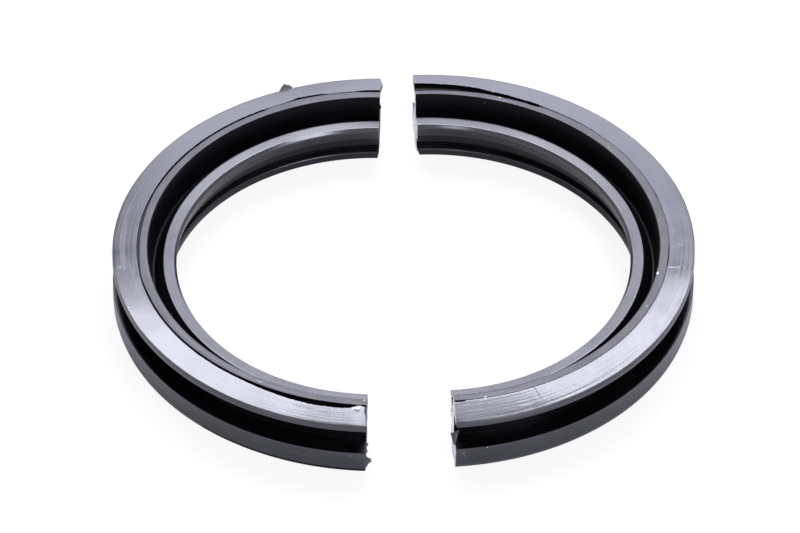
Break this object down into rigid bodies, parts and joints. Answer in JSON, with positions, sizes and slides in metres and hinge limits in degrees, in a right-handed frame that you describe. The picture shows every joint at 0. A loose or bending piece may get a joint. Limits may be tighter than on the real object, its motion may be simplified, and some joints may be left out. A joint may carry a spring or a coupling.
{
  "type": "rear main seal",
  "caption": "Split rear main seal in moulded rubber: half rings with an inward sealing lip, a flex recess behind the lip and a groove round the outer wall.",
  "frame": {"origin": "midway between the half rings in plan, on the plane that they lie on", "axes": "+Z along the seal's axis, lips up; +X from the left half ring to the right one"},
  "size_m": [0.1106, 0.1009, 0.0123],
  "materials": {
    "black_rubber": "satin black moulded rubber, greyed and scuffed on the ground top land"
  },
  "bodies": {
    "root": {"seal_half_left": "black_rubber", "seal_half_right": "black_rubber"}
  },
  "joints": []
}
